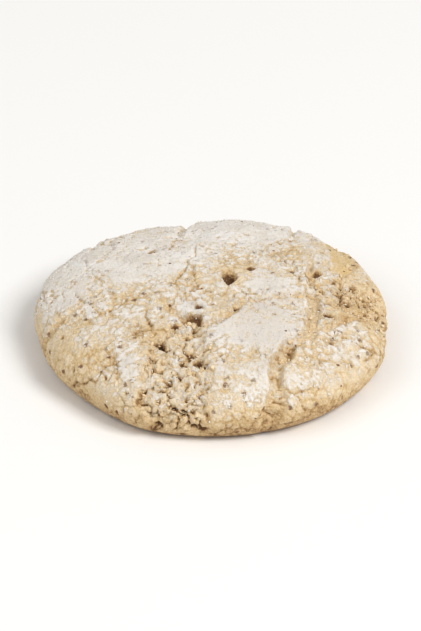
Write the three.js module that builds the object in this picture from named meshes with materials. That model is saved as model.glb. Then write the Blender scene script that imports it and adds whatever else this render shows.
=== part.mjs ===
// An almond cookie, lying flat: a thick round of baked almond dough with a low dome, rounded shoulders and
// a flat baked foot. The top has split in the oven into crust plates, with bands of coarse crumb between.
// Millimetres, +Z up. The origin is the middle of the foot, and -Y is the edge nearest the viewer.

import * as THREE from "three";
import { mergeVertices } from "three/addons/utils/BufferGeometryUtils.js";

// Driving dimensions, in millimetres.
const RADIUS = 38; // mean radius in plan, at the widest line
const HEIGHT = 15.5; // foot to crown, before the relief
const WAIST = 6; // height of the widest line
const FOOT = 33; // radius of the flat underside
const WALL = 0.9; // half the width of the slope from a plate's edge down into a crack
const CRUMB = 2.7; // spacing of the coarse crumb's lumps
const CRUMB_HEIGHT = 1.6; // how far a lump stands above its hollows
const FACET = 1.15; // spacing of the points over the top and sides
const FOOT_FACET = 3; // spacing of the points round the foot
const FOOT_ROUNDS = [1, 0.6, 0.25]; // rounds of points on the foot, as shares of its radius
const WELD = 1e-4; // points closer than this are one point

// The dome's fullness: a higher power keeps the top flatter and the shoulder tighter.
const DOME_POWER = 3;
const SHOULDER_POWER = 2.1;

// The outline's slow waves: lobes round the edge, share of the radius, and where each starts.
const LOBES = [
  { count: 2, share: 0.008, start: 0 },
  { count: 3, share: 0.018, start: 4 },
  { count: 4, share: 0.016, start: 1.95 },
  { count: 7, share: 0.004, start: 1.2 },
  { count: 11, share: 0.002, start: 3 },
];

// The relief is laid out on the cookie's skin as if it were unrolled from the crown: a place is its distance
// over the surface from the crown, in its direction in plan. The widest line is about 42 from the crown, the
// foot's rim about 50.

// Cracks between the plates: middle line, half width along it, depth, and the share that coarse crumb fills.
const CRACKS = [
  {
    // the ledge along the far side of the front plate
    path: [[-11, -7], [-7.5, -11], [-4.5, -13], [-0.5, -14], [3, -11], [6, -6], [11, -4], [21, -2.5]],
    half: [0.5, 1.2, 1.5, 1.4, 1.2, 1, 0.9, 1.2],
    depth: 1.8,
    crumb: 0.2,
  },
  {
    // down the right side of the front plate
    path: [[20.5, 10], [22, 5], [21.2, -1], [21, -8], [21, -14]],
    half: [0.5, 1, 1.3, 1.4, 1.5],
    depth: 1.8,
    crumb: 0.2,
  },
  {
    // from the right shoulder to the near edge
    path: [[34, -5.5], [29, -8], [25.5, -11.5], [20.5, -16], [16, -21], [13, -29], [14, -50]],
    half: [0.8, 1.2, 1.4, 1.6, 1.4, 1.4, 2.4],
    depth: 1.9,
    crumb: 0.3,
  },
  {
    // the wide open band at the near left
    path: [[-5, -15.5], [-7.5, -20], [-8, -27], [-8.5, -36], [-10, -50]],
    half: [2.6, 6.4, 7.2, 7.6, 6.5],
    depth: 1.7,
    crumb: 1,
  },
  {
    // the wide open band at the right
    path: [[24.5, 1.5], [29, 0.5], [34, -1], [39, -3], [50, -6.5]],
    half: [3.6, 6, 7.4, 7.8, 6.5],
    depth: 1.7,
    crumb: 1,
  },
  {
    // the bare smooth strip round the far right shoulder
    path: [[28.5, 8], [28.5, 14], [27.5, 21], [25.5, 29], [23.5, 37], [23, 50]],
    half: [1, 2.5, 3, 2.8, 2.4, 1.8],
    depth: 0.8,
    crumb: 0,
  },
  {
    // a split in the far edge, right of the middle
    path: [[17, 23], [17.5, 30], [18.5, 37], [17.5, 50]],
    half: [0.4, 0.9, 1.3, 1.6],
    depth: 1.4,
    crumb: 0.1,
  },
  {
    // a split in the far edge, left of the middle
    path: [[-11, 20], [-8, 24.5], [-7.5, 31], [-5, 38], [-7, 50]],
    half: [0.4, 1, 1.2, 1.5, 1.8],
    depth: 1.4,
    crumb: 0.2,
  },
  {
    // a split in the far left shoulder
    path: [[-22, 20], [-26, 24], [-30, 30], [-37, 36]],
    half: [0.5, 1, 1.3, 1.7],
    depth: 1.3,
    crumb: 0.2,
  },
  {
    // a split in the left edge
    path: [[-28, -5], [-33, -6.5], [-39, -11], [-50, -13]],
    half: [0.3, 0.7, 1.1, 1.5],
    depth: 1.1,
    crumb: 0.1,
  },
];

// Blow holes in the crust: place, reach along X and Y, and depth.
const PITS = [
  { at: [3.2, 3.2], reach: [1.8, 3], depth: 2.4 },
  { at: [-4.7, -11.7], reach: [2.7, 2.5], depth: 1.4 },
  { at: [-11.2, -20.4], reach: [1.6, 1.7], depth: 1.6 },
  { at: [-3.4, -26.3], reach: [1.5, 1.5], depth: 1.3 },
  { at: [7.8, 6.7], reach: [1.3, 1.3], depth: 0.7 },
  { at: [-3.3, -7.4], reach: [1.3, 1.3], depth: 0.8 },
  { at: [-13.5, 14.2], reach: [1.4, 1.4], depth: 0.7 },
  { at: [22.6, 7.4], reach: [1.3, 1.7], depth: 1.2 },
];

// Plates that rose above their neighbours: middle, reach along X and Y, and lift.
const PLATES = [
  { at: [8.5, -21], reach: [12.5, 17], lift: 1 },
  { at: [-5, 9], reach: [19, 13], lift: 0.6 },
  { at: [-26, -8], reach: [10, 16], lift: 0.5 },
];

// The reach, as shares of its own, over which a pit's wall rises and a plate's edge falls.
const PIT_WALL = [0.1, 1];
const PLATE_EDGE = [0.5, 1.1];

// Slow swells of the whole top: size of a wave, and height.
const SWELL = [
  { size: 13, height: 0.6, seed: 5 },
  { size: 5.5, height: 0.25, seed: 6 },
];

// How far the cracks' and plates' edges wander along X and along Y: size of a wave, and how far.
const WANDER_X = [
  { size: 6, height: 1, seed: 1 },
  { size: 2.6, height: 0.5, seed: 2 },
];
const WANDER_Y = [
  { size: 6, height: 1, seed: 3 },
  { size: 2.6, height: 0.5, seed: 4 },
];
const CRUMB_SEED = 7;

const mix = (a, b, share) => a + (b - a) * share;

// 0 below low, 1 above high, and smooth between.
function ramp(low, high, value) {
  const t = Math.min(1, Math.max(0, (value - low) / (high - low)));
  return t * t * (3 - 2 * t);
}

// A repeatable number from 0 to 1 for each cell of a plane grid.
function scatter(i, j, seed) {
  const s = Math.sin(i * 127.1 + j * 311.7 + seed * 74.7) * 43758.5453;
  return s - Math.floor(s);
}

// Smooth noise from about -1 to 1, with one wave to a unit.
function noise(x, y, seed) {
  const i = Math.floor(x);
  const j = Math.floor(y);
  const slope = (di, dj) => {
    const turn = scatter(i + di, j + dj, seed) * 2 * Math.PI;
    return Math.cos(turn) * (x - i - di) + Math.sin(turn) * (y - j - dj);
  };
  const u = ramp(0, 1, x - i);
  const v = ramp(0, 1, y - j);
  const near = mix(slope(0, 0), slope(1, 0), u);
  const far = mix(slope(0, 1), slope(1, 1), u);
  return 1.5 * mix(near, far, v);
}

// The sum of layers of smooth noise, each with its own size of wave and height.
function layered(layers, x, y) {
  return layers.reduce((sum, { size, height, seed }) => sum + height * noise(x / size, y / size, seed), 0);
}

// Round lumps, about one to a unit: 1 at a lump's middle and 0 in the hollows between.
function lumps(x, y, seed) {
  const i = Math.floor(x);
  const j = Math.floor(y);
  let nearest = 1;
  for (let di = -1; di <= 1; di++) {
    for (let dj = -1; dj <= 1; dj++) {
      const cx = i + di + scatter(i + di, j + dj, seed);
      const cy = j + dj + scatter(i + di, j + dj, seed + 1);
      nearest = Math.min(nearest, (x - cx) ** 2 + (y - cy) ** 2);
    }
  }
  return 1 - nearest;
}

// The distance from a place to a crack's middle line, and the half width there.
function measure(crack, x, y) {
  let best = { distance: Infinity, half: 0 };
  for (let k = 1; k < crack.path.length; k++) {
    const [ax, ay] = crack.path[k - 1];
    const [bx, by] = crack.path[k];
    const along = ((x - ax) * (bx - ax) + (y - ay) * (by - ay)) / ((bx - ax) ** 2 + (by - ay) ** 2);
    const share = Math.min(1, Math.max(0, along));
    const distance = Math.hypot(x - mix(ax, bx, share), y - mix(ay, by, share));
    if (distance < best.distance) best = { distance, half: mix(crack.half[k - 1], crack.half[k], share) };
  }
  return best;
}

// How far a place is from the middle of an oval, as a share of the oval's reach.
function ovalDistance({ at, reach }, x, y) {
  return Math.hypot((x - at[0]) / reach[0], (y - at[1]) / reach[1]);
}

// How far the surface stands off the plain form at a place: swells, plates, cracks, crumb and pits.
function relief(x, y) {
  const wx = x + layered(WANDER_X, x, y);
  const wy = y + layered(WANDER_Y, x, y);
  let sunk = 0;
  let crumb = 0;
  for (const crack of CRACKS) {
    const { distance, half } = measure(crack, wx, wy);
    const open = 1 - ramp(half - WALL, half + WALL, distance);
    sunk = Math.max(sunk, open * crack.depth);
    crumb = Math.max(crumb, open * crack.crumb);
  }
  for (const pit of PITS) sunk += pit.depth * (1 - ramp(...PIT_WALL, ovalDistance(pit, x, y)));
  let lift = 0;
  for (const plate of PLATES) lift += plate.lift * (1 - ramp(...PLATE_EDGE, ovalDistance(plate, wx, wy)));
  const grain = CRUMB_HEIGHT * crumb * (lumps(wx / CRUMB, wy / CRUMB, CRUMB_SEED) - 0.5);
  return layered(SWELL, x, y) + lift * (1 - crumb) - sunk + grain;
}

// The profile from the crown over the shoulder and the widest line to the rim of the foot.
class Profile extends THREE.Curve {
  getPoint(t, target = new THREE.Vector2()) {
    const overWaist = 0.8; // the share of the curve that lies above the widest line
    if (t < overWaist) {
      const turn = (t / overWaist) * (Math.PI / 2);
      const out = Math.sin(turn) ** (2 / DOME_POWER);
      const up = Math.cos(turn) ** (2 / SHOULDER_POWER);
      return target.set(RADIUS * out, WAIST + (HEIGHT - WAIST) * up);
    }
    const turn = ((t - overWaist) / (1 - overWaist)) * (Math.PI / 2);
    return target.set(FOOT + (RADIUS - FOOT) * Math.cos(turn), WAIST * (1 - Math.sin(turn)));
  }
}

// The outline in one direction, as a share of the mean radius.
function outline(angle) {
  return LOBES.reduce((sum, lobe) => sum + lobe.share * Math.cos(lobe.count * angle + lobe.start), 1);
}

// A level round of points on the form, pushed along the profile's normal by the relief at that skin distance.
function reliefRound({ x: reach, y: height }, normal, skin) {
  const facet = mix(FOOT_FACET, FACET, ramp(0, WAIST, height));
  const count = Math.max(6, Math.round((2 * Math.PI * reach) / facet));
  const fade = ramp(0, WAIST, height);
  return Array.from({ length: count }, (_, k) => {
    const angle = (k / count) * 2 * Math.PI;
    const c = Math.cos(angle);
    const s = Math.sin(angle);
    const push = fade * relief(skin * c, skin * s);
    const out = reach * outline(angle) + push * normal.x;
    return new THREE.Vector3(out * c, out * s, height + push * normal.y);
  });
}

// A level round of points on the flat foot.
function footRound(reach) {
  const count = Math.round((2 * Math.PI * reach) / (2 * FOOT_FACET));
  return Array.from({ length: count }, (_, k) => {
    const angle = (k / count) * 2 * Math.PI;
    const out = reach * outline(angle);
    return new THREE.Vector3(out * Math.cos(angle), out * Math.sin(angle), 0);
  });
}

// Triangles, facing out, between an upper and a lower round of any counts. A round of one point is a pole.
function stitch(upper, lower) {
  const faces = [];
  const upperSteps = upper.length > 1 ? upper.length : 0;
  const lowerSteps = lower.length > 1 ? lower.length : 0;
  let a = 0;
  let b = 0;
  while (a < upperSteps || b < lowerSteps) {
    const p = upper[a % upper.length];
    const q = lower[b % lower.length];
    const lowerFirst = a >= upperSteps || (b < lowerSteps && (b + 1) / lowerSteps <= (a + 1) / upperSteps);
    if (lowerFirst) {
      b += 1;
      faces.push(p, q, lower[b % lower.length]);
    } else {
      a += 1;
      faces.push(p, q, upper[a % upper.length]);
    }
  }
  return faces;
}

function cookieGeometry() {
  const profile = new Profile();
  profile.arcLengthDivisions = 2000;
  const length = profile.getLength();
  const steps = Math.round(length / FACET);
  const line = profile.getSpacedPoints(steps);
  const rounds = [[new THREE.Vector3(0, 0, HEIGHT + relief(0, 0))]];
  for (let k = 1; k < steps; k++) {
    const slope = line[k + 1].clone().sub(line[k - 1]).normalize();
    const normal = new THREE.Vector2(-slope.y, slope.x);
    rounds.push(reliefRound(line[k], normal, (k / steps) * length));
  }
  rounds.push(...FOOT_ROUNDS.map((share) => footRound(share * FOOT)), [new THREE.Vector3(0, 0, 0)]);

  const corners = [];
  for (let k = 1; k < rounds.length; k++) corners.push(...stitch(rounds[k - 1], rounds[k]));
  const soup = new THREE.BufferGeometry().setFromPoints(corners);
  const geometry = mergeVertices(soup, WELD);
  geometry.computeBoundingBox();
  const middle = geometry.boundingBox.getCenter(new THREE.Vector3());
  geometry.translate(-middle.x, -middle.y, 0);
  geometry.computeVertexNormals();
  return geometry;
}

const bakedDough = new THREE.MeshStandardMaterial({ color: 0xe2cfae, roughness: 0.9, metalness: 0 });

const cookie = new THREE.Mesh(cookieGeometry(), bakedDough);
cookie.name = "cookie";

const almondCookie = new THREE.Group();
almondCookie.name = "almond_cookie";
almondCookie.add(cookie);

export default almondCookie;
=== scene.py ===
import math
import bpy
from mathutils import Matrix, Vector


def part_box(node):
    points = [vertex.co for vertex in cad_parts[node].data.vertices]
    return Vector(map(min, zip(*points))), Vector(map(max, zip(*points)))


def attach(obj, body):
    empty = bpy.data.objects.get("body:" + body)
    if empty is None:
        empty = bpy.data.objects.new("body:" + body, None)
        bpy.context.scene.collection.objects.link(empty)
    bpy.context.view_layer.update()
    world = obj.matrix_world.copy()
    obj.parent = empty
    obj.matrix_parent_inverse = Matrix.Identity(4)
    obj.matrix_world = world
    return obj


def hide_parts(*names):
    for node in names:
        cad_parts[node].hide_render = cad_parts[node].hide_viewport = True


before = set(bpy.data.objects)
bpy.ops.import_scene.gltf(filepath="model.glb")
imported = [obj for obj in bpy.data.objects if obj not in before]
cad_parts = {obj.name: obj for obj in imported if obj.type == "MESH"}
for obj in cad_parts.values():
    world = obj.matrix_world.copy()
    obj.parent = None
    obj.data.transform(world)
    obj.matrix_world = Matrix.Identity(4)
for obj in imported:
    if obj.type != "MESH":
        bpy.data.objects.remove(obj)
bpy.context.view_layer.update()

# An almond cookie on a pale floor: baked almond dough under a broken crust of powdered sugar, with coarse
# golden crumb in its open cracks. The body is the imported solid's form drawn finer, and loose sugar, crumbs
# and flecks of almond skin lie on it.

from types import SimpleNamespace
from typing import NamedTuple

import bpy
import numpy as np
from mathutils import Vector

LOW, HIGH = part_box("cookie")

# ------------------------------------------------------------------------------------------------------------
# Form, in millimetres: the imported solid's own named sizes
# ------------------------------------------------------------------------------------------------------------

RADIUS = 38.0  # mean radius in plan, at the widest line
HEIGHT = 15.5  # foot to crown, before the relief
WAIST = 6.0  # height of the widest line
FOOT = 33.0  # radius of the flat underside
CRUMB = 2.7  # spacing of the coarse crumb's lumps
CRUMB_HEIGHT = 1.6  # how far a lump stands above its hollows
SOLID_WIDTH = 76.2  # the solid's width along X
MM = (HIGH.x - LOW.x) / SOLID_WIDTH  # metres in one of the millimetres used here

# The dome's fullness: a higher power keeps the top flatter and the shoulder tighter.
DOME_POWER = 3.0
SHOULDER_POWER = 2.1
OVER_WAIST = 0.8  # the share of the profile's curve that lies above the widest line

# The outline's slow waves: lobes round the edge, share of the radius, and where each starts.
LOBES = [(2, 0.008, 0.0), (3, 0.018, 4.0), (4, 0.016, 1.95), (7, 0.004, 1.2), (11, 0.002, 3.0)]

# The relief is laid out on the skin as if it were unrolled from the crown: a place is its distance over the
# surface from the crown, in its direction in plan. The widest line is about 42 from the crown, the foot's rim
# about 50.


class Crack(NamedTuple):
    """A crack between the crust's plates."""

    path: list  # places along its middle line
    half: list  # half its width at each of them
    depth: float
    crumb: float  # the share of it that coarse crumb fills
    smooth: bool = False  # a bare, worn strip rather than a split


LEDGE = Crack(  # along the far side of the front plate
    [(-11, -7), (-7.5, -11), (-4.5, -13), (-0.5, -14), (3, -11), (6, -6), (11, -4), (21, -2.5)],
    [0.5, 1.2, 1.5, 1.4, 1.2, 1, 0.9, 1.2], 1.8, 0.2)
FRONT_PLATE_SPLIT = Crack(  # down the right side of the front plate
    [(20.5, 10), (22, 5), (21.2, -1), (21, -8), (21, -14)],
    [0.5, 1, 1.3, 1.4, 1.5], 1.8, 0.2)
RIGHT_SHOULDER_SPLIT = Crack(  # from the right shoulder to the near edge
    [(34, -5.5), (29, -8), (25.5, -11.5), (20.5, -16), (16, -21), (13, -29), (14, -50)],
    [0.8, 1.2, 1.4, 1.6, 1.4, 1.4, 2.4], 1.9, 0.3)
NEAR_LEFT_BAND = Crack(
    [(-5, -15.5), (-7.5, -20), (-8, -27), (-8.5, -36), (-10, -50)],
    [2.6, 6.4, 7.2, 7.6, 6.5], 1.7, 1.0)
RIGHT_BAND = Crack(
    [(24.5, 1.5), (29, 0.5), (34, -1), (39, -3), (50, -6.5)],
    [3.6, 6, 7.4, 7.8, 6.5], 1.7, 1.0)
BARE_STRIP = Crack(  # round the far right shoulder
    [(28.5, 8), (28.5, 14), (27.5, 21), (25.5, 29), (23.5, 37), (23, 50)],
    [1, 2.5, 3, 2.8, 2.4, 1.8], 0.8, 0.0, smooth=True)
FAR_RIGHT_SPLIT = Crack([(17, 23), (17.5, 30), (18.5, 37), (17.5, 50)], [0.4, 0.9, 1.3, 1.6], 1.4, 0.1)
FAR_LEFT_SPLIT = Crack(
    [(-11, 20), (-8, 24.5), (-7.5, 31), (-5, 38), (-7, 50)],
    [0.4, 1, 1.2, 1.5, 1.8], 1.4, 0.2)
LEFT_SHOULDER_SPLIT = Crack([(-22, 20), (-26, 24), (-30, 30), (-37, 36)], [0.5, 1, 1.3, 1.7], 1.3, 0.2)
LEFT_EDGE_SPLIT = Crack([(-28, -5), (-33, -6.5), (-39, -11), (-50, -13)], [0.3, 0.7, 1.1, 1.5], 1.1, 0.1)
CRACKS = [LEDGE, FRONT_PLATE_SPLIT, RIGHT_SHOULDER_SPLIT, NEAR_LEFT_BAND, RIGHT_BAND, BARE_STRIP,
          FAR_RIGHT_SPLIT, FAR_LEFT_SPLIT, LEFT_SHOULDER_SPLIT, LEFT_EDGE_SPLIT]

# Blow holes in the crust: place, reach along X and Y, depth, and the height of the lump in the near part.
# They are a little sharper than the solid's, and the last four, in and beside the right band, are only here.
PITS = [
    ((3.2, 3.2), (1.8, 3), 2.6, 0),
    ((-4.7, -11.7), (2.8, 2.7), 1.7, 1.9),
    ((-11.2, -20.4), (1.3, 1.6), 1.6, 0),
    ((-3.4, -26.3), (1.5, 1.5), 1.3, 0),
    ((7.8, 6.7), (1.2, 1.1), 0.6, 0),
    ((-3.3, -7.4), (1.3, 1.3), 0.8, 0),
    ((-13.5, 14.2), (1.4, 1.4), 0.7, 0),
    ((22.6, 7.4), (1.2, 1.7), 1.2, 0),
    ((31, 4.5), (1.1, 1.4), 1.1, 0),
    ((34, -1), (1.3, 1.1), 1.1, 0),
    ((28.5, -2.5), (1.6, 1.1), 1.2, 0),
    ((24.5, -8.5), (1.7, 1), 1, 0),
]

# Plates that rose above their neighbours: middle, reach along X and Y, and lift.
PLATES = [
    ((8.5, -21), (12.5, 17), 1.0),
    ((-5, 9), (19, 13), 0.6),
    ((-26, -8), (10, 16), 0.5),
]
PLATE_EDGE = (0.5, 1.1)  # the shares of its reach over which a plate's edge falls

# Slow swells of the whole top, and how far the cracks' and plates' edges wander along X and along Y: the size
# of a wave, its height, and its seed.
SWELL = [(13, 0.6, 5), (5.5, 0.25, 6)]
WANDER_X = [(6, 1, 1), (2.6, 0.5, 2)]
WANDER_Y = [(6, 1, 3), (2.6, 0.5, 4)]

# ------------------------------------------------------------------------------------------------------------
# Detail that is finer than the solid's, in millimetres
# ------------------------------------------------------------------------------------------------------------

FACET = 0.28  # spacing of the points over the top and sides
FOOT_FACET = 0.9  # spacing of the points over the foot
FOOT_EDGE = 2.5  # the height at which the spacing has narrowed from the foot's to the sides'
LEAST_POINTS = 6  # in a round
PROFILE_STEPS = 8000

# Cracks. A crumbly or worn one has softer walls and a more uneven width than a clean split.
FRAY = 0.5  # how far an edge is frayed, in waves of FRAY_WAVE
FRAY_WAVE = 1.7
TEAR = 1.3  # how far the width of a crumbly crack varies, in waves of TEAR_WAVE
TEAR_WAVE = 3.4
WALL = 0.45  # half the width of the slope from a plate's edge down into a clean split
WORN_WALL = 1.3  # the same in a crumbly crack
STRIP_WEAR = 0.6  # how far the smooth strip is worn, where a clean split is 0 and a crumbly crack 1
FULL_DEPTH = 1.4  # a crack as deep as this counts in full
LIP = (-0.2, 0.5, 2.6)  # out from a crack's edge: where its raised lip starts, is highest and ends
LIP_HEIGHT = 0.2
LIP_CRUMBLED = 0.7  # the share of the lip that is lost along coarse crumb

# Blow holes, and the lump that stands in one, in shares of the hole's reach.
PIT_WALL = (0.4, 1)  # where a hole's wall starts and ends
PIT_RAGGED = 0.2
PIT_RAGGED_WAVE = 1.3  # in millimetres
ISLAND_AT = 0.42  # how far towards the viewer the lump's middle is
ISLAND_REACH = (0.5, 0.6)
ISLAND_WALL = (0.5, 1.1)  # where the lump's own wall starts and ends, in shares of its reach
ISLAND_PALE = 1.4  # how fast the hole's mark, its painted shade and lack of sugar, goes where the lump rises

# Small lumps on the coarse crumb's lumps: spacing, height and seed. Between some of them are deep crevices.
SMALL_LUMPS = [(1.3, 0.9, 41), (0.65, 0.4, 43)]
CREVICE_CELL = 2.1
CREVICE_DEPTH = 0.9
HOLLOW_DEPTH = 1.7  # from the lumps' tops, where the hollow is 0, to where it is 1
HOLLOW_MIDDLE = 0.45  # how much of a hollow the crumb's middle level is

# Splits show some of the crumb's grain and small lumps, and are rough.
SPLIT_GRAIN = 0.4
SPLIT_LUMPS = 0.8
SPLIT_ROUGH = 0.3
SPLIT_ROUGH_WAVE = 1.5

# The crust is a little uneven. It has hairline crazing over about half of the top, and a much finer crackle
# where the dough has stretched.
CRUST_ROUGH = 0.15
CRUST_ROUGH_WAVE = 1.8
CRUST_GRIT = 0.07
CRUST_GRIT_WAVE = 0.7
CRAZE_CELL = 8
CRAZE_DEPTH = 0.4
CRAZE_SHIFT = 20  # how far the pattern of the cells is moved along X and Y
CRACKLE_CELL = 2.3
CRACKLE_DEPTH = 0.16
STRETCHES = [(9, 1, 54), (3, 0.4, 55)]  # size of a wave, its height, and its seed
SPLIT_CALM = 0.8  # the share of both that is missing in a split
PLATE_CALM = 0.45  # and on the front plate's smooth part
SMOOTH_PLATE = ((10, -14.5), (11, 13))  # that part, with painted shade on its sugar: middle, and reach

# Pores in the crust and, larger and closer, in the crumb: how many, largest radius, and seed.
CRUST_PORES = (260, 0.8, 7)
CRUMB_PORES = (700, 0.95, 8)
PORE_FIELD = 48  # how far from the crown they are strewn
SMALLEST_PORE = 0.3
PORE_STRETCH = (0.6, 1.4)
PORE_RAGGED = 0.45
PORE_RAGGED_WAVE = 0.9
PORE_WALL = (0.2, 1)  # where a pore's wall starts and ends, in radii
PORE_FARTHEST = 2.5  # in radii, more than its ragged wall reaches
PORE_DEPTH = 1.3  # in radii
PORE_SHADE = 1.6  # one over the depth from which a pore's painted shade is full

FOOT_ROUGH = 0.22  # how far the foot rises between the places that it rests on
FOOT_ROUGH_WAVE = 2.2
FOOT_RIM = 2  # how far in from its rim the foot gets that rough

# ------------------------------------------------------------------------------------------------------------
# Sugar, baking and painted shade, as shares from 0 to 1
# ------------------------------------------------------------------------------------------------------------

SUGAR_THICK = 0.25  # how many millimetres thick the sugar is where it covers the dough
SUGAR_EDGE = (0.35, 0.7)  # the shares of cover between which it gets that thick
SUGAR_WORN = 0.6  # the share of its thickness that is missing on crumb
SUGAR_USUAL = 0.62  # how much of it there is
SUGAR_DRIFTS = [(7, 0.26, 71), (2.2, 0.32, 75)]  # size of a wave, its height, and its seed

# Streaks over the far and the left shoulder, drawn out along the edge: width, length, height and seed.
SUGAR_STREAKS = [(0.9, 7, 0.2, 79), (1.7, 9, 0.14, 80)]
STREAKED_FROM = (14, 26)  # how far from the crown they start, and are in full
STREAKED_SIDE = (-12, 4)  # the same beyond a line over the crown, towards the far side
STREAKED_SLOPE = 0.5  # how far away from the viewer that line goes for each millimetre to the right

# The heights between which the sugar gets less, and how much is lost below them.
SUGAR_OFF_SIDES = [((5, 12), 0.42), ((2, 7), 0.35)]

# How much less sugar there is in each kind of place.
SUGAR_OFF = {"open_crack": 0.38, "open_hollow": 1.1, "crumb": 0.08, "craze": 0.4, "crackle": 0.4, "pit": 1,
             "pore": 1}

# Where the powdered sugar lies thick or thin: middle, reach along X and Y, and how much more or less of it.
SUGAR_PATCHES = [
    ((-22, 15), (19, 13), 0.4),
    ((2, 27), (20, 14), 0.45),
    ((-10, 10), (9, 8), 0.2),
    ((-33, 3), (10, 10), 0.22),
    ((10.5, -15), (10, 12), 0.21),
    ((-4.5, -7.5), (5, 3), 0.45),
    ((1, -13), (5, 3), 0.25),
    ((3.5, -19), (5, 7), 0.2),
    ((14, 0), (8, 5), 0.32),
    ((-18.5, -25), (2.6, 6), 0.36),
    ((-13, -20), (8, 11), -0.24),
    ((-33, -12), (6, 8), -0.26),
    ((-28, -22), (8, 9), -0.24),
    ((4, 5), (5, 5), -0.26),
    ((1, -5), (3.5, 4), -0.22),
    ((21, 13), (5, 8), -0.1),
    ((29, 17), (5, 14), -0.34),
    ((29, -4), (8, 8), -0.3),
    ((36, 3), (8, 14), -0.36),
    ((-37, -22), (7, 11), -0.3),
]

# Where the sugar is greyer: painted shade on the front plate's smooth part, and random stretches elsewhere.
PLATE_PAINTED_SHADE = 0.8
GREY_DRIFT = 0.5
GREY_WAVE = 8

# How golden the skin of the bare strip is, how golden at least between its blotches, and how much of that is
# lost low on the side.
GOLDEN = 0.9
GOLDEN_LEAST = 0.4
GOLDEN_WAVE = 3
GOLDEN_LOST = 0.8

# How brown the dough usually is, where it is browner (middle, reach along X and Y, and by how much), and how
# much browner it is in each kind of place; in the crumb's hollows, pits and pores it is painted shade.
BAKE_USUAL = 0.1
BAKE_DRIFT = 0.12
BAKE_DRIFT_WAVE = 6
BAKE_PATCHES = [((-16, -19), (9, 12), 0.12), ((31, -2), (9, 10), 0.24)]
BAKE_AND_SHADE_MORE = {"split": 0.16, "deep_crumb": 1.3, "crumb": -0.05, "low_side": 0.34, "rim": 0.2, "pit": 1.1,
             "pore": 0.6, "crackle": 0.3, "craze": 0.34}

# ------------------------------------------------------------------------------------------------------------
# Noise and patterns over the skin
# ------------------------------------------------------------------------------------------------------------


def mix(a, b, share):
    return a + (b - a) * share


def ramp(low, high, value):
    """0 below low, 1 above high, and smooth between."""
    t = np.clip((value - low) / (high - low), 0, 1)
    return t * t * (3 - 2 * t)


def scatter(i, j, seed):
    """A repeatable number from 0 to 1 for each cell of a plane grid."""
    s = np.sin(i * 127.1 + j * 311.7 + seed * 74.7) * 43758.5453
    return s - np.floor(s)


def noise(x, y, seed):
    """Smooth noise from about -1 to 1, with one wave to a unit."""
    i, j = np.floor(x), np.floor(y)
    u, v = ramp(0, 1, x - i), ramp(0, 1, y - j)

    def slope(di, dj):
        turn = scatter(i + di, j + dj, seed) * 2 * np.pi
        return np.cos(turn) * (x - i - di) + np.sin(turn) * (y - j - dj)

    near = mix(slope(0, 0), slope(1, 0), u)
    far = mix(slope(0, 1), slope(1, 1), u)
    return 1.5 * mix(near, far, v)


def layered(layers, x, y):
    """The sum of layers of smooth noise, each with its own size of wave and height."""
    return sum(height * noise(x / size, y / size, seed) for size, height, seed in layers)


def rough_noise(x, y, size, seed, layers=3):
    """Noise with finer and finer layers: the coarsest has one wave to a size."""
    return sum(noise(x / size * 2**k, y / size * 2**k, seed + k) / 2**k for k in range(layers)) / 1.5


def rough_layered(layers, x, y):
    """The sum of layers of rough noise, each with its own size of wave and height."""
    return sum(height * rough_noise(x, y, size, seed) for size, height, seed in layers)


def here_and_there(x, y, size, seed, low, high):
    """1 over some stretches of the skin and 0 over the others, in waves of a size."""
    return ramp(low, high, noise(x / size, y / size, seed))


def cell_distances(x, y, seed):
    """The squared distances to the nearest and the next of points strewn about one to a unit."""
    i, j = np.floor(x), np.floor(y)
    first = np.full_like(x, 9.0)
    second = np.full_like(x, 9.0)
    for di in (-1, 0, 1):
        for dj in (-1, 0, 1):
            cx = i + di + scatter(i + di, j + dj, seed)
            cy = j + dj + scatter(i + di, j + dj, seed + 1)
            d = (x - cx) ** 2 + (y - cy) ** 2
            second = np.minimum(second, np.maximum(first, d))
            first = np.minimum(first, d)
    return first, second


def lumps(x, y, seed):
    """Round lumps, about one to a unit: 1 at a lump's middle and 0 in the hollows between."""
    return 1 - np.minimum(1, cell_distances(x, y, seed)[0])


def gaps(x, y, size, seed, narrow, wide):
    """Gaps between cells of about a size: 1 in a gap and 0 on a cell."""
    near, next_near = cell_distances(x / size, y / size, seed)
    return 1 - ramp(narrow, wide, np.sqrt(next_near) - np.sqrt(near))


def oval_distance(x, y, middle, reach):
    """How far each place is from the middle of an oval, as a share of the oval's reach."""
    return np.hypot((x - middle[0]) / reach[0], (y - middle[1]) / reach[1])


def patch(x, y, middle, reach, inner=0.35, outer=1.15):
    """1 in the middle of an oval, falling smoothly to 0 past its edge."""
    return 1 - ramp(inner, outer, oval_distance(x, y, middle, reach))


def patches(x, y, ovals):
    """The sum of patches, each with its own middle, reach and height."""
    return sum(height * patch(x, y, middle, reach) for middle, reach, height in ovals)


def pores(x, y, count, largest, seed):
    """Ragged blow holes strewn over the skin: how deep the surface lies in one, in millimetres."""
    rng = np.random.default_rng(seed)
    ragged = PORE_RAGGED * rough_noise(x, y, PORE_RAGGED_WAVE, seed + 60)
    depth = np.zeros_like(x)
    for _ in range(count):
        far = PORE_FIELD * math.sqrt(rng.uniform(0, 1))
        turn = rng.uniform(0, 2 * math.pi)
        size = mix(SMALLEST_PORE, largest, rng.uniform(0, 1) ** 3)
        stretch = rng.uniform(*PORE_STRETCH)
        away = np.hypot(x - far * math.cos(turn), (y - far * math.sin(turn)) * stretch) / size
        near = away < PORE_FARTHEST
        hole = 1 - ramp(*PORE_WALL, away[near] + ragged[near])
        depth[near] = np.maximum(depth[near], PORE_DEPTH * size * hole)
    return depth


# ------------------------------------------------------------------------------------------------------------
# Relief of the skin. x and y are places on it. wx and wy are the same places, shifted so that the edges of
# cracks and plates wander, and fx and fy are shifted so that the edges fray as well.
# ------------------------------------------------------------------------------------------------------------

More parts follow.
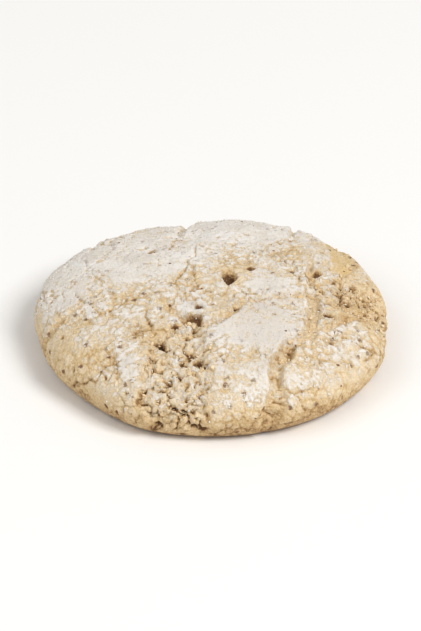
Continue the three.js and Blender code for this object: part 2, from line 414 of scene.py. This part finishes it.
def measure(crack, x, y):
    """The distance from each place to a crack's middle line, and the half width there."""
    best = np.full_like(x, np.inf)
    width = np.zeros_like(x)
    for (ax, ay), (bx, by), half_a, half_b in zip(crack.path, crack.path[1:], crack.half, crack.half[1:]):
        along = ((x - ax) * (bx - ax) + (y - ay) * (by - ay)) / ((bx - ax) ** 2 + (by - ay) ** 2)
        share = np.clip(along, 0, 1)
        distance = np.hypot(x - mix(ax, bx, share), y - mix(ay, by, share))
        closer = distance < best
        best = np.where(closer, distance, best)
        width = np.where(closer, mix(half_a, half_b, share), width)
    return best, width


def crack_relief(skin, fx, fy):
    """How deep the cracks are at each place. Marks where they are open, crumbly or bare, and their lips."""
    torn = TEAR * rough_noise(skin.x, skin.y, TEAR_WAVE, seed=35)
    sunk, skin.crumb, skin.lip, skin.crack, skin.bare = (np.zeros_like(skin.x) for _ in range(5))
    lip_start, lip_top, lip_end = LIP
    for crack in CRACKS:
        worn = STRIP_WEAR if crack.smooth else crack.crumb
        distance, width = measure(crack, fx, fy)
        width = width + torn * worn
        wall = mix(WALL, WORN_WALL, worn)
        is_open = 1 - ramp(width - wall, width + wall, distance)
        rise = ramp(width + lip_start, width + lip_top, distance)
        fall = ramp(width + lip_top, width + lip_end, distance)
        sunk = np.maximum(sunk, is_open * crack.depth)
        skin.crumb = np.maximum(skin.crumb, is_open * crack.crumb)
        skin.crack = np.maximum(skin.crack, is_open * min(1, crack.depth / FULL_DEPTH))
        skin.lip = np.maximum(skin.lip, rise * (1 - fall) * (1 - LIP_CRUMBLED * crack.crumb))
        if crack.smooth:
            skin.bare = np.maximum(skin.bare, is_open)
    return sunk


def pit_relief(skin):
    """How deep the large blow holes are at each place. Marks where they are."""
    x, y = skin.x, skin.y
    sunk, skin.pit = np.zeros_like(x), np.zeros_like(x)
    ragged = PIT_RAGGED * rough_noise(x, y, PIT_RAGGED_WAVE, seed=61)
    for place, reach, depth, island in PITS:
        hole = 1 - ramp(*PIT_WALL, oval_distance(x, y, place, reach) + ragged)
        island_place = (place[0], place[1] - ISLAND_AT * reach[1])
        island_reach = (ISLAND_REACH[0] * reach[0], ISLAND_REACH[1] * reach[1])
        raised = island * patch(x, y, island_place, island_reach, *ISLAND_WALL)
        sunk += depth * hole - np.minimum(raised, depth * hole)
        # The hole's mark, which paints shade into it and takes off the sugar, fades where the lump rises.
        skin.pit = np.maximum(skin.pit, np.clip(hole - ISLAND_PALE * raised / depth, 0, 1))
    return sunk


def crumb_relief(skin, wx, wy, fx, fy):
    """How high the crumb's coarse lumps, its small lumps, and all of it with its crevices are at each place.

    Marks the hollows between the lumps.
    """
    grain = CRUMB_HEIGHT * (lumps(wx / CRUMB, wy / CRUMB, seed=7) - 0.5)
    small = sum(height * (lumps(fx / size, fy / size, seed) - 0.5) for size, height, seed in SMALL_LUMPS)
    crevice = gaps(fx, fy, CREVICE_CELL, seed=57, narrow=0.03, wide=0.3)
    crevice = crevice * here_and_there(skin.x, skin.y, 2.2, seed=58, low=-0.35, high=0.25)
    coarse = grain + small - CREVICE_DEPTH * crevice
    skin.hollow = np.clip(HOLLOW_MIDDLE - coarse / HOLLOW_DEPTH, 0, 1)
    return grain, small, coarse


def crust_relief(skin, fx, fy):
    """How deep the crust's crazing and crackle are at each place. Marks where they are."""
    x, y = skin.x, skin.y
    calm = (1 - SPLIT_CALM * skin.crack) * (1 - PLATE_CALM * patch(x, y, *SMOOTH_PLATE))
    on_crust = (1 - skin.crumb) * calm
    about_half = here_and_there(x, y, 11, seed=53, low=-0.1, high=0.35)
    hairline = gaps(fx + CRAZE_SHIFT, fy + CRAZE_SHIFT, CRAZE_CELL, seed=51, narrow=0.015, wide=0.06)
    skin.craze = hairline * about_half * on_crust
    stretched = ramp(-0.45, 0.45, layered(STRETCHES, x, y))
    fine = gaps(fx, fy, CRACKLE_CELL, seed=56, narrow=0.02, wide=mix(0.1, 0.42, stretched))
    skin.crackle = fine * stretched * on_crust
    return CRAZE_DEPTH * skin.craze + CRACKLE_DEPTH * skin.crackle


def pore_relief(skin, fx, fy):
    """How deep the pores are at each place. Marks where they are."""
    holed = here_and_there(skin.x, skin.y, 10, seed=59, low=-0.35, high=0.25)
    depth = np.maximum(holed * pores(fx, fy, *CRUST_PORES), skin.crumb * pores(fx, fy, *CRUMB_PORES))
    # The deeper a pore, the fuller its mark, which paints shade into it and takes off the sugar.
    skin.pore = np.minimum(1, depth * PORE_SHADE)
    return depth


def skin_relief(skin):
    """How far the surface stands off the plain form at each place on the skin."""
    x, y = skin.x, skin.y
    wx, wy = x + layered(WANDER_X, x, y), y + layered(WANDER_Y, x, y)
    fx = wx + FRAY * rough_noise(x, y, FRAY_WAVE, seed=21)
    fy = wy + FRAY * rough_noise(x, y, FRAY_WAVE, seed=31)
    sunk = crack_relief(skin, fx, fy)
    sunk += pit_relief(skin)
    sunk += crust_relief(skin, fx, fy)
    sunk += pore_relief(skin, fx, fy)
    lift = sum(height * patch(wx, wy, middle, reach, *PLATE_EDGE) for middle, reach, height in PLATES)
    grain, small, coarse = crumb_relief(skin, wx, wy, fx, fy)

    split_rough = SPLIT_ROUGH * rough_noise(x, y, SPLIT_ROUGH_WAVE, seed=45)
    in_split = SPLIT_GRAIN * grain + SPLIT_LUMPS * small + split_rough
    uneven = CRUST_ROUGH * rough_noise(x, y, CRUST_ROUGH_WAVE, seed=47)
    uneven += CRUST_GRIT * rough_noise(x, y, CRUST_GRIT_WAVE, seed=49, layers=2)
    crust = lift + uneven + skin.crack * (1 - skin.bare) * in_split
    lip = LIP_HEIGHT * skin.lip * (1 - skin.crack)
    return layered(SWELL, x, y) + mix(crust, coarse, skin.crumb) + lip - sunk


# ------------------------------------------------------------------------------------------------------------
# Sugar, baking and painted shade over the skin
# ------------------------------------------------------------------------------------------------------------

def by_place(skin, amounts):
    """The sum over kinds of place: an amount times how far each point of the skin is of that kind."""
    return sum(amount * getattr(skin, kind) for kind, amount in amounts.items())


def sugar_cover(skin, height):
    """How much of the powdered sugar lies at each place, from 0 to 1."""
    x, y = skin.x, skin.y
    far, turn = np.hypot(x, y), np.arctan2(y, x)
    streaks = sum(amount * noise(far / width, turn * far / length, seed)
                  for width, length, amount, seed in SUGAR_STREAKS)
    streaked = ramp(*STREAKED_FROM, far) * ramp(*STREAKED_SIDE, y - STREAKED_SLOPE * x)
    off_sides = sum(amount * (1 - ramp(*heights, height)) for heights, amount in SUGAR_OFF_SIDES)
    skin.open_crack = skin.crack * (1 - skin.crumb)
    skin.open_hollow = skin.crumb * ramp(0.1, 0.7, skin.hollow)
    cover = SUGAR_USUAL + patches(x, y, SUGAR_PATCHES) + rough_layered(SUGAR_DRIFTS, x, y)
    return np.clip(cover + streaks * streaked - off_sides - by_place(skin, SUGAR_OFF), 0, 1)


def dough_bake_and_shade(skin):
    """How brown the dough is at each point, 0 to 1, with painted shade in the crumb's hollows, pits and
    pores.
    """
    x, y = skin.x, skin.y
    skin.split = skin.open_crack * (1 - skin.bare)
    # Painted shade: the crumb gets darker the deeper it lies in a hollow.
    skin.deep_crumb = skin.crumb * ramp(0.15, 0.85, skin.hollow)
    skin.low_side = 1 - ramp(1.5, 9, skin.level)
    skin.rim = 1 - ramp(0, 2.2, skin.level)
    drift = BAKE_DRIFT * rough_noise(x, y, BAKE_DRIFT_WAVE, seed=91)
    return BAKE_USUAL + patches(x, y, BAKE_PATCHES) + drift + by_place(skin, BAKE_AND_SHADE_MORE)


def sugar_grey_and_shade(skin):
    """How grey the sugar is, 0 to 1: painted shade on the front plate, random greyer stretches elsewhere."""
    drift = ramp(0, 0.5, rough_noise(skin.x, skin.y, GREY_WAVE, seed=97))
    return PLATE_PAINTED_SHADE * patch(skin.x, skin.y, *SMOOTH_PLATE) + GREY_DRIFT * drift


def golden_skin(skin):
    """How golden the baked skin is at each point, from 0 to 1."""
    blotches = ramp(-0.4, 0.3, rough_noise(skin.x, skin.y, GOLDEN_WAVE, seed=95))
    return GOLDEN * skin.bare * mix(GOLDEN_LEAST, 1, blotches) * (1 - GOLDEN_LOST * skin.low_side)


# ------------------------------------------------------------------------------------------------------------
# The body's points and triangles
# ------------------------------------------------------------------------------------------------------------

class Profile:
    """The form's profile: from the crown over the shoulder and the widest line, and under the foot."""

    def __init__(self):
        t = np.linspace(0, 1, PROFILE_STEPS + 1)
        upper = np.minimum(t / OVER_WAIST, 1) * np.pi / 2
        lower = np.clip((t - OVER_WAIST) / (1 - OVER_WAIST), 0, 1) * np.pi / 2
        dome = RADIUS * np.sin(upper) ** (2 / DOME_POWER)
        rise = (HEIGHT - WAIST) * np.maximum(np.cos(upper), 0) ** (2 / SHOULDER_POWER)
        reach = np.where(t < OVER_WAIST, dome, FOOT + (RADIUS - FOOT) * np.cos(lower))
        height = np.where(t < OVER_WAIST, WAIST + rise, WAIST * (1 - np.sin(lower)))
        skin = np.concatenate([[0], np.cumsum(np.hypot(np.diff(reach), np.diff(height)))])
        even = np.linspace(0, skin[-1], round(skin[-1] / FACET) + 1)
        side_reach = np.interp(even, skin, reach)
        side_height = np.interp(even, skin, height)
        along = np.gradient(side_reach), np.gradient(side_height)
        length = np.hypot(*along)

        foot_reach = np.linspace(FOOT, 0, round(FOOT / FOOT_FACET) + 1)
        level = np.zeros_like(foot_reach)
        self.foot_starts = len(even) - 1
        self.reach = np.concatenate([side_reach[:-1], foot_reach])
        self.height = np.concatenate([side_height[:-1], level])
        self.skin = np.concatenate([even[:-1], even[-1] + FOOT - foot_reach])
        self.out = np.concatenate([(-along[1] / length)[:-1], level])
        self.up = np.concatenate([(along[0] / length)[:-1], level - 1])
        self.up[0], self.out[0] = 1, 0


def outline(angle):
    """The outline in each direction, as a share of the mean radius."""
    return 1 + sum(share * np.cos(count * angle + start) for count, share, start in LOBES)


def stitch(upper_start, upper_count, lower_start, lower_count):
    """Triangles, facing out, between two rounds of points of any counts. A round of one point is a pole."""
    lower_at = (np.arange(lower_count) + 1) / lower_count if lower_count > 1 else np.zeros(0)
    upper_at = (np.arange(upper_count) + 1) / upper_count if upper_count > 1 else np.zeros(0)
    steps = np.argsort(np.concatenate([lower_at, upper_at]), kind="stable")
    on_upper = steps >= len(lower_at)
    a = np.cumsum(on_upper) - on_upper
    b = np.cumsum(~on_upper) - ~on_upper
    p = upper_start + a % upper_count
    q = lower_start + b % lower_count
    upper_next = upper_start + (a + 1) % upper_count
    lower_next = lower_start + (b + 1) % lower_count
    return np.stack([p, q, np.where(on_upper, upper_next, lower_next)], axis=1)


def body_shape():
    """The whole cookie as points, triangles and what the skin is at each point."""
    profile = Profile()
    spacing = mix(FOOT_FACET, FACET, ramp(0, FOOT_EDGE, profile.height))
    counts = np.maximum(LEAST_POINTS, np.round(2 * np.pi * profile.reach / spacing)).astype(int)
    counts[[0, -1]] = 1
    starts = np.concatenate([[0], np.cumsum(counts)[:-1]])
    which = np.repeat(np.arange(len(counts)), counts)
    turn = 2 * np.pi * (np.arange(counts.sum()) - starts[which]) / counts[which]
    c, s = np.cos(turn), np.sin(turn)
    reach, height = profile.reach[which], profile.height[which]
    on_foot = which >= profile.foot_starts

    skin = SimpleNamespace(x=profile.skin[which] * c, y=profile.skin[which] * s)
    push = skin_relief(skin)
    sugar = sugar_cover(skin, height)
    push += SUGAR_THICK * ramp(*SUGAR_EDGE, sugar) * (1 - SUGAR_WORN * skin.crumb)
    push *= ramp(0, WAIST, height)
    out = reach * outline(turn) + push * profile.out[which]
    foot_rise = FOOT_ROUGH * ramp(0.1, 0.9, rough_noise(skin.x, skin.y, FOOT_ROUGH_WAVE, seed=81))
    foot_rise *= ramp(0, FOOT_RIM, FOOT - reach)
    z = np.where(on_foot, foot_rise, height + push * profile.up[which])
    points = np.stack([out * c, out * s, z], axis=1)
    middle = (points.min(0) + points.max(0)) / 2
    points[:, :2] -= middle[:2]

    skin.sugar = np.where(on_foot, 0, sugar)
    skin.level = z
    skin.foot = on_foot.astype(float)
    faces = [stitch(starts[k], counts[k], starts[k + 1], counts[k + 1]) for k in range(len(counts) - 1)]
    return points, np.concatenate(faces), skin


# ------------------------------------------------------------------------------------------------------------
# Materials
# ------------------------------------------------------------------------------------------------------------

def colour(red, green, blue):
    """A colour given as it looks on screen, 0 to 255, as the linear one that a shader takes."""
    linear = [((v / 255 + 0.055) / 1.055) ** 2.4 for v in (red, green, blue)]
    return (*linear, 1)


SUGAR_WHITE = colour(238, 234, 229)
SUGAR_CREAM = colour(228, 221, 211)
# Grey sugar, for painted shade on the front plate and for greyer stretches elsewhere.
SUGAR_GREY_AND_SHADE = colour(219, 211, 202)
SUGAR_THIN = colour(240, 228, 209)
DOUGH_PALE = colour(239, 219, 186)
DOUGH_GOLD = colour(220, 191, 144)
DOUGH_DEEP = colour(184, 149, 104)
DOUGH_BROWN = colour(112, 80, 50)
GOLDEN_SKIN = colour(227, 197, 143)
ALMOND_SKIN = colour(118, 76, 46)
FLOOR_WHITE = colour(250, 249, 247)

FOOD_GLOSS = 0.25  # specular level
FLOOR_GLOSS = 0.1
SOFT_SHARE = 0.07  # how much of the light goes through the surface of food
SOFT_COLOUR = (1.0, 0.7, 0.45)  # how far its red, green and blue go, against each other
POWDER_GRIT = 0.55  # spacing of the sugar's grains, in millimetres
SPECK_SPACING = 3.4  # spacing of the flecks of almond skin baked into the dough
BUMP_DEPTH = 0.32
BUMP_STRENGTH = 0.78


class Shader:
    """A node material, with short calls for the few kinds of node used here. Sizes are in millimetres."""

    def __init__(self, name):
        self.material = bpy.data.materials.new(name)
        self.material.use_nodes = True
        self.tree = self.material.node_tree
        self.surface = self.tree.nodes["Principled BSDF"]

    def plug(self, socket, value):
        if isinstance(value, bpy.types.NodeSocket):
            self.tree.links.new(value, socket)
        else:
            socket.default_value = value

    def mark(self, name):
        node = self.tree.nodes.new("ShaderNodeAttribute")
        node.attribute_name = name
        return node.outputs["Fac"]

    def place(self):
        return self.tree.nodes.new("ShaderNodeTexCoord").outputs["Object"]

    def noise(self, size, detail=3.0, roughness=0.55):
        node = self.tree.nodes.new("ShaderNodeTexNoise")
        self.plug(node.inputs["Vector"], self.place())
        node.inputs["Scale"].default_value = 1 / (size * MM)
        node.inputs["Detail"].default_value = detail
        node.inputs["Roughness"].default_value = roughness
        return node.outputs["Fac"]

    def spots(self, size):
        """The distance from the nearest of points strewn about one to a size, in sizes."""
        node = self.tree.nodes.new("ShaderNodeTexVoronoi")
        self.plug(node.inputs["Vector"], self.place())
        node.inputs["Scale"].default_value = 1 / (size * MM)
        return node.outputs["Distance"]

    def math(self, operation, a, b):
        node = self.tree.nodes.new("ShaderNodeMath")
        node.operation = operation
        self.plug(node.inputs[0], a)
        self.plug(node.inputs[1], b)
        return node.outputs[0]

    def times(self, a, b):
        return self.math("MULTIPLY", a, b)

    def total(self, *values):
        result = values[0]
        for value in values[1:]:
            result = self.math("ADD", result, value)
        return result

    def ramp(self, value, low, high, to_low=0.0, to_high=1.0):
        """to_low below low, to_high above high, and smooth between."""
        node = self.tree.nodes.new("ShaderNodeMapRange")
        node.interpolation_type = "SMOOTHSTEP"
        self.plug(node.inputs["Value"], value)
        node.inputs["From Min"].default_value = low
        node.inputs["From Max"].default_value = high
        node.inputs["To Min"].default_value = to_low
        node.inputs["To Max"].default_value = to_high
        return node.outputs["Result"]

    def drift(self, value, low, high, most):
        """A number that drifts with value from -most below low to most above high."""
        return self.ramp(value, low, high, -most, most)

    def blend(self, share, a, b):
        node = self.tree.nodes.new("ShaderNodeMix")
        node.data_type = "RGBA"
        sockets = {socket.identifier: socket for socket in node.inputs}
        self.plug(sockets["Factor_Float"], share)
        self.plug(sockets["A_Color"], a)
        self.plug(sockets["B_Color"], b)
        return next(socket for socket in node.outputs if socket.identifier == "Result_Color")

    def colours(self, value, stops):
        node = self.tree.nodes.new("ShaderNodeValToRGB")
        self.plug(node.inputs["Fac"], value)
        elements = node.color_ramp.elements
        while len(elements) < len(stops):
            elements.new(0.5)
        for element, (at, tint) in zip(elements, stops):
            element.position = at
            element.color = tint
        return node.outputs["Color"]

    def bump(self, height, distance, strength):
        node = self.tree.nodes.new("ShaderNodeBump")
        node.inputs["Distance"].default_value = distance * MM
        node.inputs["Strength"].default_value = strength
        self.plug(node.inputs["Height"], height)
        self.plug(self.surface.inputs["Normal"], node.outputs["Normal"])

    def finish(self, base, roughness, gloss, soft=0.0):
        """The finished material. soft is how far light goes through the surface."""
        self.plug(self.surface.inputs["Base Color"], base)
        self.plug(self.surface.inputs["Roughness"], roughness)
        self.surface.inputs["Specular IOR Level"].default_value = gloss
        if soft:
            self.surface.inputs["Subsurface Weight"].default_value = SOFT_SHARE
            self.surface.inputs["Subsurface Radius"].default_value = SOFT_COLOUR
            self.surface.inputs["Subsurface Scale"].default_value = soft * MM
        return self.material


def cookie_material():
    shader = Shader("sugared_almond_dough")
    powder = shader.noise(0.32, 3, 0.6)
    fine = shader.noise(0.8, 4, 0.6)
    patchy = shader.noise(2.2, 4)
    broad = shader.noise(9, 3)
    ragged_spots = shader.total(shader.spots(POWDER_GRIT), shader.drift(powder, 0.25, 0.75, 0.22))
    between_grains = shader.ramp(ragged_spots, 0.3, 0.8)

    # Baked dough: pale where thin-skinned, golden in the cracks; painted shade darkens the pits and hollows.
    # The bake mark carries painted shade in the hollows, pits and pores as well as the browning.
    baked = shader.total(shader.mark("bake_and_shade"), shader.drift(patchy, 0.3, 0.7, 0.1),
                         shader.drift(fine, 0.3, 0.7, 0.12), shader.times(between_grains, 0.16))
    tones = [(0.0, DOUGH_PALE), (0.38, DOUGH_GOLD), (0.68, DOUGH_DEEP), (1.0, DOUGH_BROWN)]
    dough = shader.colours(baked, tones)
    dough = shader.blend(shader.mark("golden"), dough, GOLDEN_SKIN)
    skins = shader.total(shader.spots(SPECK_SPACING), shader.drift(fine, 0.3, 0.7, 0.09))
    specks = shader.times(shader.ramp(skins, 0.08, 0.22, 0.85, 0.0), shader.ramp(broad, 0.34, 0.5))
    dough = shader.blend(specks, dough, ALMOND_SKIN)

    # Powdered sugar: a thin dusting everywhere, and a crust whose edge breaks up into islands and grains.
    sugar_mark = shader.mark("sugar")
    edge = shader.total(sugar_mark, shader.drift(fine, 0.25, 0.75, 0.3),
                        shader.drift(powder, 0.25, 0.75, 0.2), shader.drift(patchy, 0.3, 0.7, 0.1))
    crust = shader.ramp(edge, 0.3, 0.7, 0.0, 0.94)
    dusting = shader.times(shader.ramp(powder, 0.35, 0.62), shader.ramp(sugar_mark, 0.0, 0.6, 0.0, 0.55))
    cover = shader.math("MAXIMUM", crust, dusting)
    sugar = shader.blend(shader.ramp(shader.total(fine, broad), 0.8, 1.2), SUGAR_CREAM, SUGAR_WHITE)
    # Painted shade greys the sugar on the front plate's smooth part; elsewhere random stretches are greyer.
    sugar = shader.blend(shader.mark("grey_and_shade"), sugar, SUGAR_GREY_AND_SHADE)
    sugar = shader.blend(shader.ramp(edge, 0.4, 0.85), SUGAR_THIN, sugar)
    base = shader.blend(cover, dough, sugar)
    base = shader.blend(shader.times(specks, 0.42), base, ALMOND_SKIN)

    grit = shader.times(between_grains, shader.ramp(crust, 0, 1, -0.55, -0.15))
    relief = shader.total(fine, shader.times(powder, 0.6), shader.times(crust, 0.3), grit)
    shader.bump(relief, BUMP_DEPTH, BUMP_STRENGTH)
    return shader.finish(base, shader.ramp(cover, 0, 1, 0.82, 0.95), FOOD_GLOSS, soft=0.5)


def bits_material(name, low, high, size, roughness, soft=0.0):
    """One food colour that drifts between two tones, with a fine grain."""
    shader = Shader(name)
    tone = shader.noise(size, 3)
    base = shader.blend(shader.ramp(tone, 0.35, 0.65), low, high)
    shader.bump(shader.noise(0.3, 3), 0.08, 0.5)
    return shader.finish(base, roughness, FOOD_GLOSS, soft)


# ------------------------------------------------------------------------------------------------------------
# Pieces
# ------------------------------------------------------------------------------------------------------------

def add_mesh(name, points, faces, material, smooth=True):
    """A triangle mesh from arrays, points in millimetres."""
    mesh = bpy.data.meshes.new(name)
    mesh.vertices.add(len(points))
    mesh.vertices.foreach_set("co", (points * MM).astype(np.float32).ravel())
    mesh.loops.add(faces.size)
    mesh.loops.foreach_set("vertex_index", faces.astype(np.int32).ravel())
    mesh.polygons.add(len(faces))
    mesh.polygons.foreach_set("loop_start", np.arange(0, faces.size, 3, dtype=np.int32))
    mesh.update(calc_edges=True)
    mesh.validate()
    if smooth:
        mesh.shade_smooth()
    mesh.materials.append(material)
    piece = bpy.data.objects.new(name, mesh)
    bpy.context.scene.collection.objects.link(piece)
    middle = (LOW + HIGH) / 2
    piece.location = (middle.x, middle.y, LOW.z)
    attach(piece, "root")
    return piece


def set_mark(piece, name, values):
    """Give each point a number from 0 to 1, which the material reads by its name."""
    layer = piece.data.attributes.new(name, "FLOAT", "POINT")
    layer.data.foreach_set("value", np.clip(values, 0, 1).astype(np.float32))


def add_body():
    points, faces, skin = body_shape()
    body = add_mesh("cookie_body", points, faces, cookie_material())
    # Browning, with painted shade in the crumb's hollows, pits and pores.
    set_mark(body, "bake_and_shade", dough_bake_and_shade(skin))
    set_mark(body, "sugar", skin.sugar)
    # Grey sugar: painted shade on the front plate, and greyer stretches elsewhere.
    set_mark(body, "grey_and_shade", sugar_grey_and_shade(skin))
    set_mark(body, "golden", golden_skin(skin))
    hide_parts("cookie")
    return points, faces, skin


class Bits(NamedTuple):
    """A kind of small broken bits of food, and how they lie. Radii are in millimetres."""

    count: int
    radius: tuple  # smallest and largest
    ball_rounds: int  # how often the faces of the ball that each is made from are cut in four
    cuts: int  # flat sides broken off each
    ragged: float  # how far its points stray, as a share of the radius
    flat: float  # its thickness as a share of its width
    sunk: float  # 0 where it rests on the surface, 1 where it is in it to the middle
    seed: int


SUGAR_GRAINS = Bits(4200, (0.06, 0.22), ball_rounds=0, cuts=0, ragged=0.3, flat=0.7, sunk=0.55, seed=11)
GOLDEN_CRUMBS = Bits(420, (0.14, 0.7), ball_rounds=2, cuts=11, ragged=0.05, flat=0.85, sunk=0.4, seed=12)
ALMOND_FLECKS = Bits(80, (0.18, 0.5), ball_rounds=1, cuts=5, ragged=0.08, flat=0.25, sunk=0.3, seed=13)
SMALL_BITS = 2.2  # a higher power makes more of the bits small
FLAT_SIDES = (0.35, 0.85)  # how far from a bit's middle its flat sides are, as shares of its radius
BIT_STRETCH = (0.7, 1.2)  # how far a bit is drawn in or out along three axes of its own
MOST_RAGGED = 2  # the farthest that a point strays, as a multiple of ragged
ABOVE_FLOOR = 0.02  # how far above the floor the lowest point of a bit stays

# The ten points between an icosahedron's poles: their reach, and their height above and below the middle.
BALL_RING = 0.8944
BALL_LEVEL = 0.4472


def make_ball(rounds):
    """A unit ball of triangles: an icosahedron, its faces cut in four a number of times."""
    turns = [k * math.pi / 5 for k in range(10)]
    ring = [(math.cos(turn) * BALL_RING, math.sin(turn) * BALL_RING, BALL_LEVEL * (-1) ** k)
            for k, turn in enumerate(turns)]
    points = [(0, 0, 1), *ring, (0, 0, -1)]
    faces = []
    for k in range(0, 10, 2):
        here, low, after, low_after = 1 + k, 2 + k, 1 + (k + 2) % 10, 1 + (k + 3) % 10
        faces += [(0, here, after), (here, low, after), (low, low_after, after), (low, 11, low_after)]
    for _ in range(rounds):
        halves = {}

        def half(a, b):
            key = (min(a, b), max(a, b))
            if key not in halves:
                middle = np.add(points[a], points[b])
                halves[key] = len(points)
                points.append(tuple(middle / np.linalg.norm(middle)))
            return halves[key]

        cut = []
        for a, b, c in faces:
            ab, bc, ca = half(a, b), half(b, c), half(c, a)
            cut += [(a, ab, ca), (ab, b, bc), (ca, bc, c), (ab, bc, ca)]
        faces = cut
    return np.array(points, float), np.array(faces)


def strewn(count, chance, points, faces, rng):
    """Places on the surface, more of them where the chance is higher, and the way out at each."""
    corners = points[faces]
    across = np.cross(corners[:, 1] - corners[:, 0], corners[:, 2] - corners[:, 0])
    area = np.linalg.norm(across, axis=1)
    weight = area * chance[faces].mean(axis=1)
    chosen = rng.choice(len(faces), count, p=weight / weight.sum())
    u, v = rng.uniform(0, 1, (2, count, 1))
    fold = u + v > 1
    u, v = np.where(fold, 1 - u, u), np.where(fold, 1 - v, v)
    a, b, c = corners[chosen].transpose(1, 0, 2)
    return a + u * (b - a) + v * (c - a), across[chosen] / area[chosen, None]


def turned(rng, count):
    """Random turns, as one 3 by 3 matrix for each."""
    turns = np.linalg.qr(rng.normal(size=(count, 3, 3)))[0]
    turns[np.linalg.det(turns) < 0, :, 0] *= -1
    return turns


def add_bits(name, bits, chance, points, faces, material):
    """One kind of bits, strewn over the body as one mesh."""
    rng = np.random.default_rng(bits.seed)
    count = bits.count
    places, out = strewn(count, chance, points, faces, rng)
    ball, ball_faces = make_ball(bits.ball_rounds)
    radius = mix(*bits.radius, rng.uniform(0, 1, (count, 1)) ** SMALL_BITS)
    shape = np.repeat(ball[None], count, axis=0)
    for _ in range(bits.cuts):
        way = rng.normal(size=(count, 1, 3))
        way /= np.linalg.norm(way, axis=2, keepdims=True)
        past = (shape * way).sum(axis=2, keepdims=True) - rng.uniform(*FLAT_SIDES, (count, 1, 1))
        shape = shape - np.maximum(past, 0) * way
    stray = rng.normal(size=(count, len(ball), 1)).clip(-MOST_RAGGED, MOST_RAGGED)
    shape = shape * (1 + bits.ragged * stray)
    shape = shape * rng.uniform(*BIT_STRETCH, (count, 1, 3))
    shape = np.einsum("nij,nkj->nki", turned(rng, count), shape)
    away = (shape * out[:, None]).sum(axis=2, keepdims=True)
    shape = shape - (1 - bits.flat) * away * out[:, None]
    middles = places + out * radius * bits.flat * (1 - bits.sunk)
    corners = middles[:, None] + shape * radius[:, None]
    corners[..., 2] = np.maximum(corners[..., 2], ABOVE_FLOOR)
    all_faces = ball_faces[None] + len(ball) * np.arange(count)[:, None, None]
    add_mesh(name, corners.reshape(-1, 3), all_faces.reshape(-1, 3), material, smooth=False)


def add_cookie():
    points, faces, skin = add_body()
    on_top = ramp(2, 9, skin.level) * (1 - skin.foot)
    on_sugar = (0.1 + skin.sugar**2 + 0.2 * skin.crumb) * on_top
    in_crumb = (0.008 + skin.crumb + 0.4 * skin.crack) * ramp(4, 11, skin.level)
    on_dough = (0.3 + skin.crumb + 0.5 * skin.crack) * on_top
    sugar = bits_material("loose_sugar", SUGAR_WHITE, SUGAR_CREAM, 3, 0.9, soft=0.3)
    add_bits("sugar_grains", SUGAR_GRAINS, on_sugar, points, faces, sugar)
    crumb = bits_material("loose_crumb", DOUGH_PALE, DOUGH_GOLD, 2.5, 0.8, soft=0.5)
    add_bits("golden_crumbs", GOLDEN_CRUMBS, in_crumb, points, faces, crumb)
    fleck = bits_material("almond_skin", ALMOND_SKIN, DOUGH_DEEP, 1.5, 0.6)
    add_bits("almond_flecks", ALMOND_FLECKS, on_dough, points, faces, fleck)


# ------------------------------------------------------------------------------------------------------------
# Floor, light and camera
# ------------------------------------------------------------------------------------------------------------

PHOTO_WIDTH = 421
PHOTO_HEIGHT = 631
CAMERA_ELEVATION = math.radians(33)
CAMERA_DISTANCE = 1.07  # metres from the cookie, as far as the photograph's camera stood
WIDTH_SHARE = 0.84  # of the picture's width that the cookie takes
SENSOR = 36.0
FLOOR_SIZE = 6  # metres
FLOOR_DROP = 0.00005  # metres that the floor lies below the foot


def add_floor():
    bpy.ops.mesh.primitive_plane_add(size=FLOOR_SIZE, location=(0, 0, LOW.z - FLOOR_DROP))
    floor = bpy.context.object
    floor.name = "floor"
    floor.data.materials.append(Shader("pale_floor").finish(FLOOR_WHITE, 0.9, FLOOR_GLOSS))


def add_light(name, azimuth, elevation, distance, size, watts, tint=(1, 1, 1)):
    """A square soft light that faces the cookie. Azimuth 0 is the camera's side, and 90 is to its right."""
    light = bpy.data.lights.new(name, "AREA")
    light.size = size
    light.energy = watts
    light.color = tint
    lamp = bpy.data.objects.new(name, light)
    a, e = math.radians(azimuth), math.radians(elevation)
    back = Vector((math.sin(a) * math.cos(e), -math.cos(a) * math.cos(e), math.sin(e)))
    lamp.location = back * distance
    lamp.rotation_euler = back.to_track_quat("Z", "Y").to_euler()
    bpy.context.scene.collection.objects.link(lamp)


def add_camera():
    aim = (LOW + HIGH) / 2
    back = Vector((0, -math.cos(CAMERA_ELEVATION), math.sin(CAMERA_ELEVATION)))
    across = (HIGH.x - LOW.x) / WIDTH_SHARE / CAMERA_DISTANCE
    data = bpy.data.cameras.new("camera")
    data.sensor_width = SENSOR
    data.lens = SENSOR * PHOTO_WIDTH / PHOTO_HEIGHT / across
    data.clip_start = 0.01
    data.clip_end = 20
    camera = bpy.data.objects.new("camera", data)
    camera.location = aim + back * CAMERA_DISTANCE
    camera.rotation_euler = back.to_track_quat("Z", "Y").to_euler()
    bpy.context.scene.collection.objects.link(camera)
    bpy.context.scene.camera = camera


def add_world(strength):
    world = bpy.data.worlds.new("studio")
    world.use_nodes = True
    world.node_tree.nodes["Background"].inputs["Color"].default_value = (1, 0.995, 0.985, 1)
    world.node_tree.nodes["Background"].inputs["Strength"].default_value = strength
    bpy.context.scene.world = world


add_cookie()
add_floor()
add_world(0.45)
add_light("key", azimuth=55, elevation=48, distance=1.6, size=0.7, watts=17, tint=(1, 0.99, 0.98))
add_light("fill", azimuth=-65, elevation=45, distance=1.5, size=1.0, watts=5)
add_camera()
bpy.context.scene.view_settings.view_transform = "Standard"
